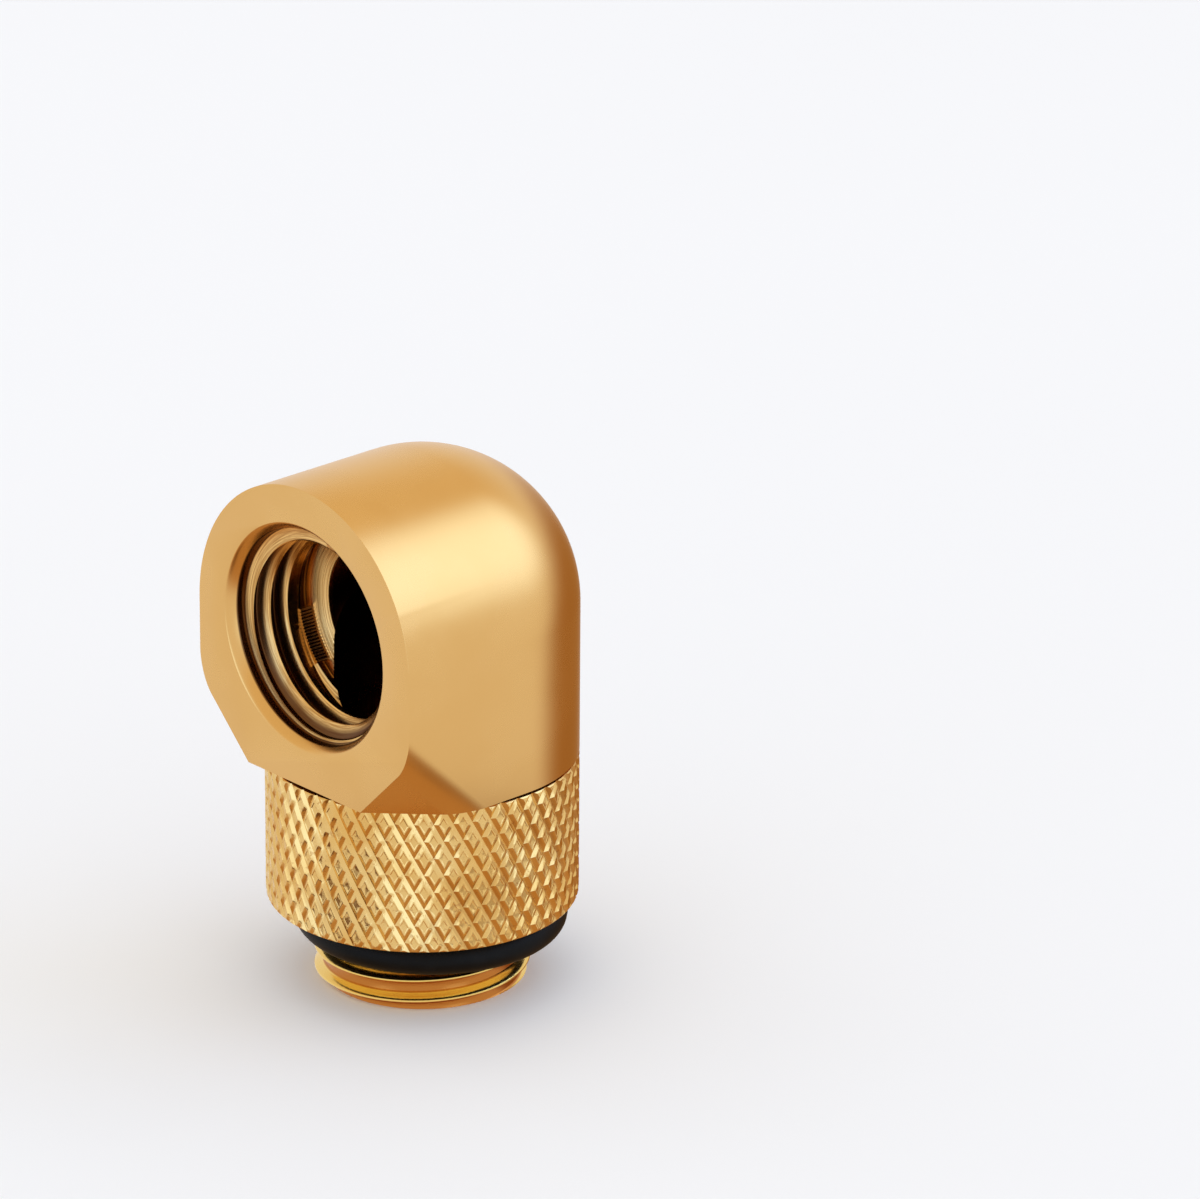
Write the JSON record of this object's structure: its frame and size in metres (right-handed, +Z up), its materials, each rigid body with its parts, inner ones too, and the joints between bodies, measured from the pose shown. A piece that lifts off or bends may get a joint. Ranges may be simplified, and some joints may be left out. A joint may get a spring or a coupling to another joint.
{
  "type": "rotary elbow tube adapter",
  "caption": "Right angle rotary adapter for coolant ports: female threaded elbow that turns on a knurled base with a short male thread and a seal ring.",
  "frame": {"origin": "centre of the male thread's end face, on the swivel axis", "axes": "+Z up the swivel axis from the male thread to the elbow; the female port faces -Y at rest; +X to the right when looking into the port"},
  "size_m": [0.019, 0.019, 0.0337],
  "materials": {
    "satin_gold": "fine satin gold plating",
    "polished_gold": "bright gold plating, machine turned and knurled",
    "black_rubber": "matte black",
    "spring_steel": "plain spring steel",
    "natural_acetal": "unpigmented, satin"
  },
  "bodies": {
    "base": {"threaded_base": "polished_gold", "port_seal": "black_rubber", "thrust_washer": "natural_acetal", "retaining_ring": "spring_steel"},
    "elbow": {"elbow_body": "satin_gold", "upper_spigot_seal": "black_rubber", "lower_spigot_seal": "black_rubber"}
  },
  "joints": [
    {"name": "elbow_swivel", "type": "hinge", "parent": "base", "child": "elbow", "pos_m": [0, 0, 0.0147], "axis": [0, 0, 1], "continuous": true}
  ]
}
